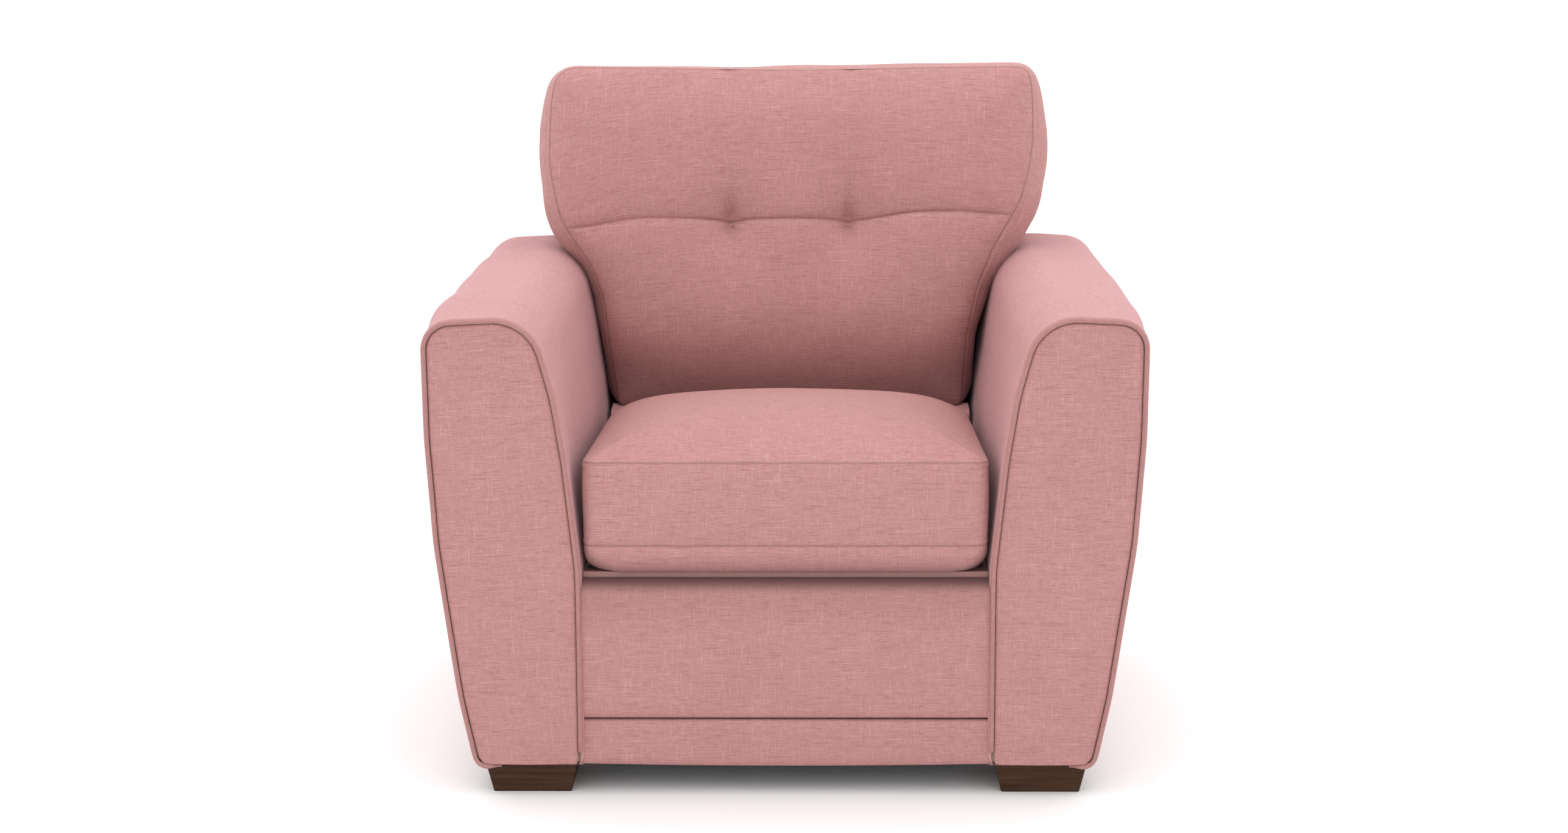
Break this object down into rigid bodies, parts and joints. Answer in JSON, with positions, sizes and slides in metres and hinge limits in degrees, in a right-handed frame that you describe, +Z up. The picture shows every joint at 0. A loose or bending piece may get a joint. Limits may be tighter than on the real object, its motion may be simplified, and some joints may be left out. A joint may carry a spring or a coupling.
{
  "type": "upholstered armchair",
  "caption": "Upholstered armchair with tapering piped arms, a loose boxed seat cushion, a tufted back cushion and tapered block feet.",
  "frame": {"origin": "on the floor, under the middle of the chair's outer box", "axes": "+Z up, +Y from the front of the chair to its back, +X to the right seen from the front; the chair is symmetric about the plane X = 0 apart from its zip slider"},
  "size_m": [0.9756, 0.8999, 0.96],
  "materials": {
    "linen": "woven, matt, dusty pink with flecks",
    "linen_piping": "woven, matt, bias cut",
    "foam": "open-cell foam",
    "pad_felt": "needled felt",
    "deck_cloth": "plain lining cloth",
    "base_cloth": "non-woven dust cover",
    "webbing": "elastic webbing",
    "twine": "waxed twine",
    "zip_tape": "woven tape",
    "zip_metal": "satin",
    "frame_wood": "bare plywood and softwood",
    "foot_wood": "dark stained, satin",
    "steel": "zinc plated"
  },
  "bodies": {
    "root": {"back_cushion_cover": "linen", "back_cushion_fill": "foam", "back_frame_cover": "linen", "back_lumbar_rail": "frame_wood", "back_top_rail": "frame_wood", "back_tuft_rail": "frame_wood", "back_webbing": "webbing", "base_cloth": "base_cloth", "corner_blocks": "frame_wood", "foot_bolts": "steel", "foot_nuts": "steel", "front_band": "linen", "front_border": "linen", "front_rail": "frame_wood", "left_arm_base_board": "frame_wood", "left_arm_bolts": "steel", "left_arm_cover": "linen", "left_arm_facing": "linen", "left_arm_foam": "foam", "left_arm_front_board": "frame_wood", "left_arm_inner_board": "frame_wood", "left_arm_nuts": "steel", "left_arm_piping": "linen_piping", "left_arm_rear_board": "frame_wood", "left_arm_top_rail": "frame_wood", "left_back_upright": "frame_wood", "left_back_wing": "frame_wood", "left_front_foot": "foot_wood", "left_rear_foot": "foot_wood", "left_side_rail": "frame_wood", "outer_back": "linen", "rear_base_rail": "frame_wood", "rear_seat_rail": "frame_wood", "right_arm_base_board": "frame_wood", "right_arm_bolts": "steel", "right_arm_cover": "linen", "right_arm_facing": "linen", "right_arm_foam": "foam", "right_arm_front_board": "frame_wood", "right_arm_inner_board": "frame_wood", "right_arm_nuts": "steel", "right_arm_piping": "linen_piping", "right_arm_rear_board": "frame_wood", "right_arm_top_rail": "frame_wood", "right_back_upright": "frame_wood", "right_back_wing": "frame_wood", "right_front_foot": "foot_wood", "right_rear_foot": "foot_wood", "right_side_rail": "frame_wood", "seat_deck": "deck_cloth", "seat_springs": "steel", "spring_clips": "steel", "spring_pad": "pad_felt", "tuck_in": "deck_cloth", "tuft_ties": "twine", "tuft_washers": "steel"},
    "seat_cushion": {"seat_cushion_cover": "linen", "seat_cushion_foam": "foam", "zip_tape": "zip_tape"},
    "zip_slider": {"zip_slider": "zip_metal"}
  },
  "joints": [
    {"name": "seat_cushion_slide", "type": "slide", "parent": "root", "child": "seat_cushion", "axis": [0, -0.999, 0.0436], "range_m": [0, 0.6]},
    {"name": "zip_slide", "type": "slide", "parent": "seat_cushion", "child": "zip_slider", "axis": [-1, 0, 0], "range_m": [0, 0.28]}
  ]
}
